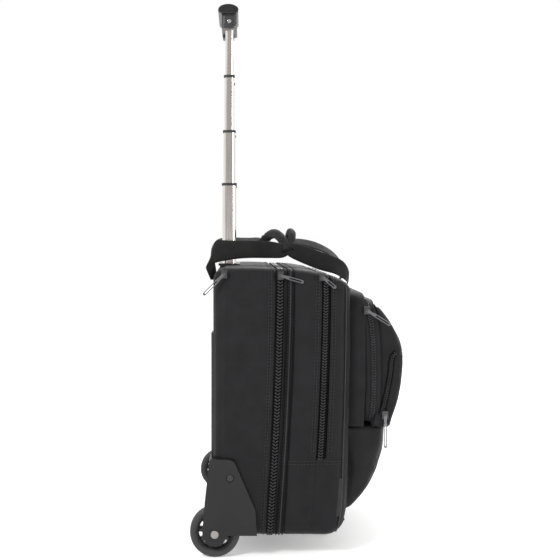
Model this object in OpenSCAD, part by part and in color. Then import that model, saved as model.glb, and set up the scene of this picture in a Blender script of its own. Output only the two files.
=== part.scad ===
// Rolling laptop case: a soft case on two wheels with a four-stage telescopic trolley.
// +X is the front with the pockets, Y is the width, +Z is up. Millimetres.
// The origin is the middle of the object's footprint, on the floor.

/* [Case] */
// Width of the fabric case, side to side
case_w = 420; // [380:1:440]
// Height of the top of the case above the floor
top_z = 437; // [420:1:445]
// Height of the underside of the case above the floor
bottom_z = 38; // [34:1:40]
// Back face of the case, measured from the origin
back_x = -129; // [-134:0.5:-126]
// Plane of the expansion zip between the rear and front sections
zip_x = -27; // [-34:0.5:-24]
// Plane of the document zip between the front section and its lid
lid_x = 42; // [36:0.5:46]
// Front face of the lid's box
face_x = 80; // [76:0.5:84]
// Thickness of the padded fabric walls
wall = 4; // [3:0.5:5]

/* [Front pocket] */
// Height of the fold line at which the lid and the pocket flap turn
fold_z = 193; // [185:1:200]
// Distance of that fold line in front of the origin
fold_x = 150; // [148:0.5:152]
// Plane of the pocket zip that parts the flap from the lid
flap_x = 112; // [108:0.5:116]
// Half of the pocket's width where it leaves the lid
pocket_half = 186; // [176:1:190]

/* [Trolley] */
// Distance of the tubes' centre line behind the origin
tube_x = -106; // [-108:0.5:-104]
// Distance of each tube's centre from the middle plane
tube_y = 38; // [36:0.5:42]
// Wall of every steel tube
tube_wall = 0.9; // [0.7:0.1:1]
// Height of the top of the hand grip
grip_top = 874; // [868:1:880]
// Half of the grip's length across the case
grip_half = 57; // [52:0.5:58]

/* [Wheels] */
// Radius of the wheels
wheel_r = 38; // [36:0.5:38]
// Distance of each wheel's middle from the middle plane
wheel_y = 195; // [194:0.5:196]
// Width of the tyre
tyre_w = 22; // [18:0.5:24]
// Radius of the hub inside the tyre
hub_r = 27; // [25:0.5:28]
// Radius of the axle pin
axle_r = 4; // [3.5:0.1:4.5]

/* [Hidden] */
$fn = 48;
axle_x = -126;
half_w = case_w / 2;
// stage 1 carries the grip, stage 5 is fixed inside the case
tube_w = [0, 13.2, 16.4, 19.8, 23.4, 27.2];
tube_t = [0, 8.4, 11.0, 13.8, 16.8, 20.4];
tube_low = [0, 611, 522, 424, 330, 60];
tube_top = [0, 842, 756, 663, 574, 436];
collar_h = 4.5;
collar_rim = 1.1;
guide_gap = 0.35;
block_h = 12;
plate_y = half_w - 1;
plate_t = 6;
housing_in = 175;
housing_wall = 6;
lobe_r = 18;
cavity_r = 42;
hub_half = 9;
bearing_r = 8;
bearing_t = 5;
plug_x = -103;
plug_z = 122;
plug_in = plate_y + 1.4;
side_gap = 0.3;
puller_t = 1.4;
slider_t = 3;
pin_r = 1.2;
strap_in = 62;
strap_t = 5;
strap_h = 36;
roll_r = 10;

// points along an arc, from angle a to angle b
function arc(cx, cz, r, a, b, n = 4) =
    [for (i = [0 : n]) let (t = a + (b - a) * i / n) [cx + r * cos(t), cz + r * sin(t)]];

// a rectangle from low to high with all corners rounded
function round_box(low, high, r, n = 4) = concat(
    arc(high[0] - r, high[1] - r, r, 0, 90, n),
    arc(low[0] + r, high[1] - r, r, 90, 180, n),
    arc(low[0] + r, low[1] + r, r, 180, 270, n),
    arc(high[0] - r, low[1] + r, r, 270, 360, n));

// a side outline in X and Z, extruded across the case from -half to +half
module across(points, half) {
    translate([0, half, 0])
        rotate([90, 0, 0])
            linear_extrude(2 * half)
                polygon(points);
}

// the same outline, extruded on one side only, from y = a to y = b
module slab(points, a, b) {
    translate([0, max(a, b), 0])
        rotate([90, 0, 0])
            linear_extrude(abs(b - a))
                polygon(points);
}

// a plan outline in X and Y, extruded upwards
module upright(points, low, high) {
    translate([0, 0, low])
        linear_extrude(high - low)
            polygon(points);
}

// an upright bar of stadium section, long along X
module stadium(w, t, low, high) {
    translate([0, 0, low])
        linear_extrude(high - low)
            union() {
                square([w - t, t], center = true);
                for (s = [-1, 1])
                    translate([s * (w - t) / 2, 0])
                        circle(d = t);
            }
}

module at_tubes() {
    for (s = [-1, 1])
        translate([tube_x, s * tube_y, 0])
            children();
}

// ---- rear section ----

// outline of the wheel housing seen from the side, grown by g all round
function housing_outline(g = 0) = concat(
    arc(-130, 146.5, 4.5 + g, 90, 180, 3),
    [[-140.5 - g, 90], [-144.5 - g, 44], [-144.5 - g, 36 - g]],
    [[-62.5 + g, 36 - g], [-65 + g, 74]],
    arc(-105, 139, 11 + g, 26, 90, 3));

module rear_plan(inset, front) {
    r = 22 - inset;
    polygon(concat(
        [[front, half_w - inset]],
        arc(back_x + 22, half_w - 22, r, 90, 180),
        arc(back_x + 22, -half_w + 22, r, 180, 270),
        [[front, -half_w + inset]]));
}

function rear_side(inset, front) = concat(
    [[front, bottom_z + inset], [front, top_z - inset]],
    arc(back_x + 16, top_z - 16, 16 - inset, 90, 180),
    arc(back_x + 16, bottom_z + 16, 16 - inset, 180, 270));

module rear_form(inset, front) {
    intersection() {
        across(rear_side(inset, front), half_w + 10);
        translate([0, 0, bottom_z - 10])
            linear_extrude(top_z - bottom_z + 20)
                rear_plan(inset, front);
    }
}

module rear_shell() {
    front = zip_x - 0.2;
    color("#242426")
        difference() {
            rear_form(0, front);
            rear_form(wall, front + 20);
            for (s = [-1, 1])
                slab(housing_outline(0.5), s * (housing_in - 0.5), s * (half_w + 12));
            translate([tube_x - 15.5, -60, top_z - wall - 6])
                cube([31, 120, wall + 7]);
        }
}

module back_board() {
    color("#3a3a3c")
        translate([back_x + wall, -160, 58])
            cube([2.6, 320, 360]);
}

module base_tray() {
    tray_low = bottom_z + wall;
    color("#2c2c2e")
        difference() {
            union() {
                translate([-112, -168, tray_low])
                    cube([74, 336, 4]);
                at_tubes()
                    stadium(30, 25, tray_low + 3.6, 78);
            }
            at_tubes()
                stadium(tube_w[5], tube_t[5], tube_low[5], 90);
        }
}

module tube_cover() {
    low = 80;
    high = top_z - wall - 3;
    color("#2f2f33")
        difference() {
            upright(round_box([-122, -60], [-87, 60], 8), low, high);
            upright(round_box([-125, -57.5], [-89.5, 57.5], 6), low - 1, high + 1);
        }
}

module exit_plate() {
    color("#1b1b1d")
        difference() {
            union() {
                translate([tube_x - 15.5, -60, top_z - wall])
                    cube([31, 120, wall]);
                upright(round_box([tube_x - 18, -63], [tube_x + 18, 63], 6), top_z, top_z + 3.5);
            }
            at_tubes()
                stadium(tube_w[5], tube_t[5], top_z - wall - 1, top_z - 1);
            at_tubes()
                stadium(tube_w[4] + 0.7, tube_t[4] + 0.7, top_z - 2, top_z + 5);
        }
}

// folded band of fabric behind the expansion zip
module expander_gusset() {
    low = zip_x - 5;
    high = zip_x + 5;
    in = wall + 0.3;
    color("#1e1e20")
        difference() {
            translate([low, -half_w + in, bottom_z + in])
                cube([high - low, case_w - 2 * in, top_z - bottom_z - 2 * in]);
            translate([low - 1, -half_w + in + 2, bottom_z + in + 2])
                cube([high - low + 2, case_w - 2 * in - 4, top_z - bottom_z - 2 * in - 4]);
        }
}

// ---- trolley ----

module tube(stage) {
    color("#b9bbbe")
        difference() {
            stadium(tube_w[stage], tube_t[stage], tube_low[stage], tube_top[stage]);
            stadium(tube_w[stage] - 2 * tube_wall, tube_t[stage] - 2 * tube_wall,
                tube_low[stage] - 1, tube_top[stage] + 1);
        }
}

module tube_at(stage, s) {
    translate([tube_x, s * tube_y, 0])
        tube(stage);
}

module fixed_tubes() {
    for (s = [-1, 1])
        tube_at(5, s);
}

// plastic sleeve on the top of a stage's tubes, which guides the next stage
module collars(stage) {
    top = tube_top[stage] + 1.5;
    color("#151516")
        at_tubes()
            difference() {
                stadium(tube_w[stage] + 2 * collar_rim, tube_t[stage] + 2 * collar_rim,
                    top - collar_h, top);
                stadium(tube_w[stage], tube_t[stage], top - collar_h - 1, tube_top[stage]);
                stadium(tube_w[stage - 1] + 2 * guide_gap, tube_t[stage - 1] + 2 * guide_gap,
                    tube_top[stage] - 1, top + 1);
            }
}

// plastic foot of a stage's tubes, which slides in the next tube out and holds the lock
module lock_blocks(stage) {
    w = tube_w[stage + 1] - 2 * tube_wall - 2 * guide_gap;
    t = tube_t[stage + 1] - 2 * tube_wall - 2 * guide_gap;
    color("#3b3b3f")
        at_tubes()
            stadium(w, t, tube_low[stage] - block_h, tube_low[stage]);
}

grip_low = 834;
bar_low = 839;
frame_top = 858;
frame_half = 50;
screw_z = 846;
bridge_z = 848;
bridge_h = 5;

module grip_frame() {
    color("#3d3e41")
        difference() {
            union() {
                upright(round_box([-119, -frame_half], [-93, frame_half], 6), bar_low, frame_top);
                for (s = [-1, 1])
                    upright(round_box([-118, s * 40 - 10], [-98, s * 40 + 10], 4),
                        grip_low, bar_low + 3);
            }
            translate([tube_x - 5, -44.5, tube_top[1]])
                cube([10, 89, frame_top]);
            translate([-114.6, -15.6, bridge_z - 1])
                cube([17.2, 31.2, frame_top]);
            at_tubes()
                stadium(tube_w[1], tube_t[1], grip_low - 1, tube_top[1] + 1);
            for (s = [-1, 1])
                translate([tube_x, s * (frame_half + 2), screw_z])
                    rotate([90, 0, 0])
                        cylinder(r = 1.6, h = 12, center = true);
        }
}

// oval outline of the grip's rubber cap, flat where it sits on the frame
function cover_outline() =
    [for (t = [-48 : 12 : 228]) [-107.5 + 17.2 * cos(t), max(frame_top, 864 + 9.6 * sin(t))]];

module grip_cover() {
    color("#17181a")
        difference() {
            across(cover_outline(), grip_half);
            translate([-114.5, -15.4, frame_top - 1])
                cube([17, 30.8, 30]);
        }
}

module grip_screws() {
    color("#d5d7da")
        for (s = [-1, 1])
            translate([tube_x, s * frame_half, screw_z])
                rotate([-90 * s, 0, 0]) {
                    cylinder(r = 3.2, h = 1.6);
                    translate([0, 0, -4])
                        cylinder(r = 1.5, h = 4.5);
                }
}

module release_button() {
    color("#2a2b2e")
        upright(round_box([-114, -15], [-98, 15], 4), bridge_z + bridge_h, grip_top);
}

module push_rods() {
    color("#8d9094")
        union() {
            translate([-110, -42, bridge_z])
                cube([8, 84, bridge_h]);
            at_tubes()
                translate([0, 0, 630])
                    cylinder(r = 2, h = bridge_z - 629);
        }
}

module button_spring() {
    color("#9a9da1")
        translate([tube_x, 0, tube_top[1]])
            difference() {
                cylinder(r = 3.8, h = bridge_z - tube_top[1]);
                translate([0, 0, -1])
                    cylinder(r = 2.8, h = bridge_z);
            }
}

// ---- wheels ----

module wheel_housing(s) {
    color("#4b4d51")
        difference() {
            union() {
                slab(housing_outline(), s * housing_in, s * (plate_y + plate_t));
                translate([axle_x, s * housing_in, wheel_r])
                    rotate([-90 * s, 0, 0])
                        cylinder(r = lobe_r, h = plate_y + plate_t - housing_in);
            }
            // room for the wheel, open below and behind
            translate([axle_x, s * (housing_in + housing_wall), wheel_r])
                rotate([-90 * s, 0, 0])
                    cylinder(r = cavity_r, h = plate_y - housing_in - housing_wall);
            translate([axle_x - 40, s > 0 ? housing_in + housing_wall : -plate_y, -1])
                cube([40, plate_y - housing_in - housing_wall, wheel_r + 1]);
            translate([axle_x, s * (housing_in - 1), wheel_r])
                rotate([-90 * s, 0, 0])
                    cylinder(r = axle_r, h = 60);
            translate([plug_x, s * (plate_y - 12), plug_z])
                rotate([-90 * s, 0, 0])
                    cylinder(r = 2, h = 30);
            translate([plug_x, s * plug_in, plug_z])
                rotate([-90 * s, 0, 0])
                    cylinder(r = 6, h = 10);
        }
}

module housing_screws() {
    color("#2d2e31")
        for (s = [-1, 1])
            translate([plug_x, s * plug_in, plug_z])
                rotate([-90 * s, 0, 0]) {
                    cylinder(r = 5.6, h = 3.4);
                    translate([0, 0, -8])
                        cylinder(r = 1.9, h = 8.5);
                }
}

module axle(s) {
    color("#9b9ea2")
        translate([axle_x, s * (housing_in - 0.5), wheel_r])
            rotate([-90 * s, 0, 0])
                cylinder(r = axle_r, h = plate_y + plate_t - housing_in - 0.5);
}

module axle_caps() {
    color("#e4e4e2")
        for (s = [-1, 1])
            translate([axle_x, s * (plate_y + plate_t), wheel_r])
                rotate([-90 * s, 0, 0])
                    cylinder(r = 6, h = 1.4);
}

module hub(s) {
    color("#8f9196")
        translate([axle_x, s * wheel_y, wheel_r])
            rotate([90, 0, 0])
                difference() {
                    union() {
                        difference() {
                            cylinder(r = hub_r, h = 2 * hub_half, center = true);
                            for (e = [-1, 1])
                                translate([0, 0, e * 10])
                                    cylinder(r = hub_r - 3, h = 12, center = true);
                        }
                        cylinder(r = 12, h = 2 * hub_half, center = true);
                    }
                    cylinder(r = axle_r + 1.5, h = 40, center = true);
                    for (e = [-1, 1])
                        translate([0, 0, e * (hub_half - bearing_t / 2)])
                            cylinder(r = bearing_r, h = bearing_t + 0.01, center = true);
                    for (k = [0 : 7])
                        rotate(k * 45)
                            translate([18, 0, 0])
                                cylinder(r = 4.2, h = 40, center = true);
                }
}

module tyre(s) {
    half = tyre_w / 2;
    color("#303134")
        translate([axle_x, s * wheel_y, wheel_r])
            rotate([90, 0, 0])
                rotate_extrude($fn = 72)
                    polygon([
                        [hub_r, -half + 1.5], [wheel_r - 4, -half], [wheel_r - 1.2, -half + 2.5],
                        [wheel_r, -half + 6], [wheel_r, half - 6], [wheel_r - 1.2, half - 2.5],
                        [wheel_r - 4, half], [hub_r, half - 1.5]]);
}

module bearings(s) {
    color("#a9acb0")
        for (e = [-1, 1])
            translate([axle_x, s * wheel_y + e * (hub_half - bearing_t / 2), wheel_r])
                rotate([90, 0, 0])
                    difference() {
                        cylinder(r = bearing_r, h = bearing_t, center = true);
                        cylinder(r = axle_r + 0.05, h = 6, center = true);
                    }
}

// kick strips along the lower back edges
module rear_guards() {
    color("#3f4043")
        for (s = [-1, 1])
            difference() {
                translate([back_x - 3, s > 0 ? half_w - 56 : -half_w + 20, 152])
                    cube([3, 36, 186]);
                translate([back_x - 4, s > 0 ? half_w - 50 : -half_w + 26, 170])
                    cube([2, 24, 150]);
            }
}

// ---- front section ----

front_low = zip_x + 0.2;

// plan outline with rounded front corners
function front_plan(inset, back, front, half, r) = concat(
    [[back, -half + inset]],
    arc(front - r, -half + r, r - inset, 270, 360),
    arc(front - r, half - r, r - inset, 0, 90),
    [[back, half - inset]]);

// side outline of everything in front of the zip, without the pocket
function front_side(inset, back) = concat(
    [[back, top_z - inset], [back, bottom_z + inset]],
    arc(face_x - 30, bottom_z + 30, 30 - inset, 270, 360, 5),
    [[face_x - inset, 400]],
    arc(face_x - 24, top_z - 24, 24 - inset, 0, 90, 5));

module front_form(inset, back) {
    intersection() {
        across(front_side(inset, back), half_w + 10);
        upright(front_plan(inset, back - 5, face_x, half_w, 26), 0, top_z + 20);
    }
}

divider_x = -14;

module front_shell() {
    color("#242426")
        difference() {
            front_form(0, front_low);
            // expansion space behind the divider
            translate([front_low - 20, -half_w + wall, bottom_z + wall])
                cube([divider_x - front_low + 20, case_w - 2 * wall, top_z - bottom_z - 2 * wall]);
            difference() {
                front_form(wall, divider_x + wall);
                translate([lid_x - wall, -half_w, fold_z - wall])
                    cube([100, case_w, wall + 1]);
            }
            // everything that belongs to the lid
            translate([lid_x - 0.3, -half_w - 20, fold_z])
                cube([100, case_w + 40, 400]);
        }
}

module divider_board() {
    color("#3a3a3c")
        translate([divider_x - 2.2, -192, 52])
            cube([2, 384, 372]);
}

module laptop_sleeve() {
    low = divider_x + wall + 0.4;
    color("#38383c")
        difference() {
            translate([low, -168, bottom_z + wall])
                cube([25, 336, 254]);
            translate([low + 3, -164, bottom_z + wall + 4])
                cube([19, 328, 254]);
        }
}

// side outline of the lower pocket, below the fold line
function belly_outline() = [
    [face_x + 0.4, fold_z - 3], [face_x + 0.4, 78], [92, 74], [103, 86], [111, 98], [122, 122],
    [131, 147], [138, 168], [142, fold_z - 8], [141, fold_z - 3]];

module pocket_belly() {
    color("#242426")
        intersection() {
            across(belly_outline(), 174);
            upright(front_plan(0, face_x, 146, 174, 34), 60, fold_z);
        }
}

module front_feet() {
    color("#2a2b2d")
        for (s = [-1, 1]) {
            upright(round_box([26, s * 82 - 14], [58, s * 82 + 14], 6), 4, bottom_z);
            upright(round_box([29, s * 82 - 11], [55, s * 82 + 11], 5), 0, 4);
        }
}

// ---- lid and flap ----

module document_lid() {
    low = fold_z + 4;
    color("#242426")
        difference() {
            union() {
                intersection() {
                    front_form(0, lid_x + 0.3);
                    translate([lid_x, -half_w - 20, low])
                        cube([100, case_w + 40, 400]);
                }
                // pocket frame that stands forward of the lid's face
                intersection() {
                    across([[face_x - 10, low], [flap_x - 0.3, low], [flap_x - 0.3, 386],
                        [face_x + 10, 400], [face_x - 10, 402]], pocket_half);
                    upright(front_plan(0, face_x - 10, flap_x + 40, pocket_half, 30), low, 420);
                }
            }
            // organizer space, open towards the flap
            intersection() {
                front_form(wall, lid_x + 0.3 + wall);
                translate([lid_x, -half_w, low + wall])
                    cube([face_x - lid_x - wall, case_w, 400]);
            }
            translate([face_x - wall - 1, -pocket_half + wall, low + wall])
                cube([100, 2 * (pocket_half - wall), 376 - low - wall]);
        }
}

// side outline of the flap, inset by d
function flap_outline(d) = [
    [flap_x + 0.3, fold_z + 9 + d], [fold_x - 3 - d, fold_z + 9 + d], [152 - d, 223],
    [157 - d, 248], [164 - d, 285], [158 - d, 315], [148 - d, 340], [128 - d, 372 - d / 2],
    [118, 386 - d], [flap_x + 0.3, 386 - d]];

module pocket_flap() {
    color("#242426")
        difference() {
            intersection() {
                across(flap_outline(0), pocket_half);
                upright(front_plan(0, flap_x, 164, pocket_half, 44), fold_z, 420);
            }
            intersection() {
                across(flap_outline(wall), pocket_half);
                upright(front_plan(wall, flap_x - 5, 164, pocket_half, 44), fold_z, 420);
            }
            translate([flap_x - 5, -pocket_half + 16, fold_z + 9 + wall])
                cube([8, 2 * pocket_half - 32, 376 - fold_z - 9 - 2 * wall]);
        }
}

// ---- carry handles ----

module rear_handle() {
    roll_x = -36;
    roll_z = 486;
    color("#1f1f21")
        union() {
            for (s = [-1, 1]) {
                translate([-141, s > 0 ? 48 : -84, 406])
                    cube([strap_t, 36, 78]);
                translate([-138, s > 0 ? strap_in : -strap_in - strap_t, 448])
                    cube([roll_x + 138, strap_t, strap_h]);
            }
            translate([roll_x, 0, roll_z])
                rotate([90, 0, 0])
                    cylinder(r = roll_r, h = 2 * (strap_in + strap_t), center = true);
        }
}

module front_handle() {
    roll_x = -2;
    roll_z = 484;
    color("#1f1f21")
        union() {
            for (s = [-1, 1]) {
                translate([face_x + 0.4, s * (strap_in + strap_t / 2) - 18, 404.5])
                    cube([strap_t, 36, 26]);
                slab([[face_x + 0.4, 423], [86, 424], [86, 430], [20, 488], [0, 492], [0, 464],
                    [60, 440], [76, 434]],
                    s * strap_in, s * (strap_in + strap_t));
            }
            translate([roll_x, 0, roll_z])
                rotate([90, 0, 0])
                    cylinder(r = roll_r, h = 2 * (strap_in + strap_t), center = true);
        }
}

// ---- zips ----

// centre of each slider on its side face: x, y of the face, z
rear_zip = [-112, -half_w - side_gap, 428];
expander_zip = [zip_x, -half_w - side_gap, 426];
document_zip = [lid_x - 6, -half_w - side_gap, 424];
pocket_zip = [flap_x - 6, -pocket_half - side_gap, 372];
outer_zip = [134, 1 - pocket_half, 212];

// a slider on a side face, with the pin that its pull tab turns on
module slider(at, gap = 0.2) {
    color("#77797d")
        translate(at)
            union() {
                translate([-4.5, -slider_t, -6])
                    cube([9, slider_t, 12]);
                rotate([90, 0, 0])
                    cylinder(r = pin_r, h = slider_t + gap + puller_t + 0.3);
            }
}

// a flat pull tab on that pin, pointing along the angle above +X
module puller(at, length, angle, gap = 0.2) {
    color("#8b8d91")
        translate([at[0], at[1] - slider_t - gap, at[2]])
            rotate([0, -angle, 0])
                difference() {
                    translate([-2.6, -puller_t, -2.6])
                        cube([length + 2.6, puller_t, 5.2]);
                    rotate([90, 0, 0])
                        cylinder(r = pin_r + 0.05, h = 10, center = true);
                }
}

rear_shell();
back_board();
base_tray();
tube_cover();
exit_plate();
expander_gusset();
fixed_tubes();
tube_at(4, -1);  // stage_4_tube_left
tube_at(4, 1);  // stage_4_tube_right
tube_at(3, -1);  // stage_3_tube_left
tube_at(3, 1);  // stage_3_tube_right
tube_at(2, -1);  // stage_2_tube_left
tube_at(2, 1);  // stage_2_tube_right
tube_at(1, -1);  // stage_1_tube_left
tube_at(1, 1);  // stage_1_tube_right
collars(4);  // stage_4_collars
collars(3);  // stage_3_collars
collars(2);  // stage_2_collars
lock_blocks(4);  // stage_4_lock_blocks
lock_blocks(3);  // stage_3_lock_blocks
lock_blocks(2);  // stage_2_lock_blocks
lock_blocks(1);  // stage_1_lock_blocks
grip_frame();
grip_cover();
grip_screws();
release_button();
push_rods();
button_spring();
wheel_housing(-1);  // wheel_housing_left
wheel_housing(1);  // wheel_housing_right
rear_guards();
housing_screws();
axle(-1);  // axle_left
axle(1);  // axle_right
axle_caps();
hub(-1);  // hub_left
hub(1);  // hub_right
tyre(-1);  // tyre_left
tyre(1);  // tyre_right
bearings(-1);  // bearings_left
bearings(1);  // bearings_right
front_shell();
divider_board();
laptop_sleeve();
pocket_belly();
front_feet();
document_lid();
pocket_flap();
rear_handle();
front_handle();
slider(rear_zip);  // rear_slider
puller(rear_zip, 44, 225);  // rear_puller
slider(expander_zip);  // expander_slider
puller(expander_zip, 36, -16);  // expander_puller
slider(document_zip);  // document_slider
puller(document_zip, 26, -40);  // document_puller
slider(pocket_zip, 1.1);  // pocket_slider
puller(pocket_zip, 42, -32, 1.1);  // pocket_puller
slider(outer_zip);  // outer_slider
puller(outer_zip, 50, -90);  // outer_puller
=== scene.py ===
import math

import bmesh
import bpy
from mathutils import Matrix, Vector, noise
from mathutils.bvhtree import BVHTree


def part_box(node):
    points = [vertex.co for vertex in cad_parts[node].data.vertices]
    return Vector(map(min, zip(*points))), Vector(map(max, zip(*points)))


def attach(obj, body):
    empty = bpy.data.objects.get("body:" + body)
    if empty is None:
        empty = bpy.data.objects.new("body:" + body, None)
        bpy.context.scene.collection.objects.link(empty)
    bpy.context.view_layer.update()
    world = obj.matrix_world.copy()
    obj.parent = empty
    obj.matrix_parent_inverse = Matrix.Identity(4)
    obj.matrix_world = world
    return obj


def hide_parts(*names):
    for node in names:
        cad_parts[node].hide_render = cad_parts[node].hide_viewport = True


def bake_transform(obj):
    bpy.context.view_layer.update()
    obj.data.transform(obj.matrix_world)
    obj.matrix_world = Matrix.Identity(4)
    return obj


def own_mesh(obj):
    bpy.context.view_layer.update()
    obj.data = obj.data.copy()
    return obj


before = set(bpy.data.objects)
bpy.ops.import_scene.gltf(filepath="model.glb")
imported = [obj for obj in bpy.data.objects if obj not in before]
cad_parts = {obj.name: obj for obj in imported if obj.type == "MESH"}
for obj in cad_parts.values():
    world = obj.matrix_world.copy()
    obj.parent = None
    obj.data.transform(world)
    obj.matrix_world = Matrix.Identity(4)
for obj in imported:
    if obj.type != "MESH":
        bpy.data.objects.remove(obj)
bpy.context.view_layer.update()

# ---- The studio ----
# A white room: pale paper floor, bright walls, a darker side behind the camera so that the bare
# steel shows its shape, and soft boxes. The camera stands level to the case's left, on a 60 mm lens.
EYE = Vector((-0.088, -1.619, 0.4795))

camera = bpy.data.objects.new("camera", bpy.data.cameras.new("camera"))
camera.data.lens = 60.24
camera.data.sensor_width = 36.0
camera.data.shift_x = 0.0714
camera.data.shift_y = -0.0714
camera.location = EYE
camera.rotation_euler = (math.radians(90), 0, 0)
bpy.context.collection.objects.link(camera)
bpy.context.scene.camera = camera
bpy.context.scene.view_settings.view_transform = "Standard"


def add_light(name, place, aim, size, power):
    lamp = bpy.data.lights.new(name, "AREA")
    lamp.shape = "DISK"
    lamp.size = size
    lamp.energy = power
    stand = bpy.data.objects.new(name, lamp)
    stand.location = place
    stand.rotation_euler = (Vector(aim) - Vector(place)).to_track_quat("-Z", "Y").to_euler()
    bpy.context.collection.objects.link(stand)


add_light("key", (-1.5, -1.9, 1.9), (0, 0, 0.3), 0.7, 50)
add_light("fill", (2.2, -1.6, 0.9), (0, 0, 0.3), 1.0, 22)
add_light("back", (0.6, 2.4, 2.2), (0, 0, 0.4), 2.0, 40)


# ---- The cloth of the case ----
# Black woven nylon on a thin foam, sewn from panels. The weave is about a millimetre, the dye is
# even, and the cloth is a little shinier where it has been rubbed.
class Wire:
    """An output of a shader node; sums on it add the Math nodes that they need."""

    def __init__(self, finish, socket):
        self.finish = finish
        self.socket = socket

    def math(self, operation, *other):
        inputs = dict(enumerate((self, *other)))
        return self.finish.node("ShaderNodeMath", {"operation": operation}, inputs)

    def __add__(self, other):
        return self.math("ADD", other)

    def __mul__(self, other):
        return self.math("MULTIPLY", other)

    __radd__ = __add__
    __rmul__ = __mul__


class Finish:
    """One material: its shader, and the nodes that feed it."""

    def __init__(self, name, colour, roughness, **rest):
        self.material = bpy.data.materials.new(name)
        self.material.use_nodes = True
        self.tree = self.material.node_tree
        self.shader = self.tree.nodes["Principled BSDF"]
        settings = {"Base_Color": (*colour, 1), "Roughness": roughness, **rest}
        for socket, value in settings.items():
            self.shader.inputs[socket.replace("_", " ")].default_value = value

    def node(self, kind, settings, inputs, output=0):
        node = self.tree.nodes.new(kind)
        for name, value in settings.items():
            setattr(node, name, value)
        for key, value in inputs.items():
            if isinstance(value, Wire):
                self.tree.links.new(value.socket, node.inputs[key])
            else:
                node.inputs[key].default_value = value
        return Wire(self, node.outputs[output])

    def feed(self, socket, wire):
        self.tree.links.new(wire.socket, self.shader.inputs[socket])

    def place(self, output="Object"):
        return self.node("ShaderNodeTexCoord", {}, {}, output)

    def parts(self, vector):
        split = self.node("ShaderNodeSeparateXYZ", {}, {0: vector}).socket.node
        return [Wire(self, socket) for socket in split.outputs]

    def cloud(self, scale, detail=3.0, stretch=(1, 1, 1)):
        """Soft noise from 0 to 1, with scale lumps to the metre."""
        where = self.node("ShaderNodeMapping", {}, {"Vector": self.place(), "Scale": stretch})
        settings = {"Vector": where, "Scale": scale, "Detail": detail, "Roughness": 0.55}
        return self.node("ShaderNodeTexNoise", {}, settings)

    def shades(self, factor, *stops):
        wire = self.node("ShaderNodeValToRGB", {}, {0: factor})
        for element, (place, shade) in zip(wire.socket.node.color_ramp.elements, stops):
            element.position = place
            element.color = (*shade, 1)
        return wire

    def bump(self, height, depth, strength=1.0):
        inputs = {"Height": height, "Distance": depth, "Strength": strength}
        self.feed("Normal", self.node("ShaderNodeBump", {}, inputs))

    def mottle(self, scale, low, dark, high, light):
        """Dye or moulding colour that wanders between two shades."""
        self.feed("Base Color", self.shades(self.cloud(scale), (low, dark), (high, light)))

    def gloss(self, base, spread, scale):
        """Polish that is worn in patches."""
        self.feed("Roughness", base + spread * self.cloud(scale))

    def grain(self, scale, depth, strength=0.5, detail=2.0):
        """The fine skin of moulded plastic or rubber."""
        self.bump(self.cloud(scale, detail), depth, strength)

    def weave(self, pitch):
        """Over and under threads of a plain weave, laid on whichever plane a face lies in."""
        threads = [(axis * (math.pi / pitch)).math("SINE") for axis in self.parts(self.place())]
        facing = [side * side for side in self.parts(self.place("Normal"))]
        planes = [facing[i] * threads[i - 2] * threads[i - 1] for i in range(3)]
        return planes[0] + planes[1] + planes[2]


def cloth_finish(name, dark, light, pitch=0.0011, shine=0.62, relief=0.00022):
    cloth = Finish(name, light, shine, Sheen_Weight=0.06, Sheen_Roughness=0.4)
    cloth.shader.inputs["Specular IOR Level"].default_value = 0.19
    weave = cloth.weave(pitch)
    tone = weave * 0.22 + cloth.cloud(38.0) * 0.9
    cloth.feed("Base Color", cloth.shades(tone, (0.2, dark), (0.75, light)))
    cloth.gloss(shine - 0.1, 0.2, 9.0)
    cloth.bump(weave + cloth.cloud(420.0, 2.0) * 1.4, relief, 0.6)
    return cloth


nylon = cloth_finish("black_nylon", (0.0036, 0.0036, 0.0043), (0.0088, 0.0088, 0.0104))

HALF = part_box("front_shell")[1][1]
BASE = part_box("rear_shell")[0][2]
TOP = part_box("rear_shell")[1][2]
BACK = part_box("rear_shell")[0][0]
HEIGHT = TOP - BASE
EDGE = 0.015
PANEL = 0.003


def middle_of(node):
    """The middle of a CAD part."""
    low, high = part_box(node)
    return (Vector(low) + Vector(high)) / 2


def clamp(value, low=0.0, high=1.0):
    return max(low, min(high, value))


def lean(x, z):
    """The case has settled on its feet: its panels lean back towards the bottom."""
    drop = (TOP - z) / HEIGHT
    share = clamp((x - BACK) / 0.11) * (1 - 0.55 * clamp((x - 0.04) / 0.04))
    return x - share * (0.0022 * drop + 0.0155 * drop * abs(drop))


def slump(x, z):
    """The top falls a little towards the front, and the underside hangs down between its seams."""
    high = clamp((z - TOP + 0.1) / 0.1)
    low = clamp((BASE + 0.04 - z) / 0.04)
    forward = clamp((x + 0.03) / 0.11)
    return z - high * high * (0.007 * forward + 0.016 * forward ** 3) - 0.0055 * low


def leant(at):
    """A point of the cut cloth, moved to where the loaded case holds it."""
    return Vector((lean(at[0], at[2]), at[1], slump(at[0], at[2])))


def off_side(share):
    """How far a face has turned towards a side: 0 when it hardly has, and 1 square to it."""
    return max(0.0, abs(share) - 0.4) / 0.6


def piece(name, bm, finish, body, replaces=(), smooth=True, merge=1e-6):
    """A finished mesh, riding on its body."""
    if merge:
        bmesh.ops.remove_doubles(bm, verts=bm.verts, dist=merge)
    bmesh.ops.recalc_face_normals(bm, faces=bm.faces)
    mesh = bpy.data.meshes.new(name)
    bm.to_mesh(mesh)
    bm.free()
    mesh.materials.append(finish.material)
    if smooth:
        mesh.shade_smooth()
    made = bpy.data.objects.new(name, mesh)
    bpy.context.collection.objects.link(made)
    if body:
        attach(made, body)
    if replaces:
        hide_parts(*replaces)
    return made


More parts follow.
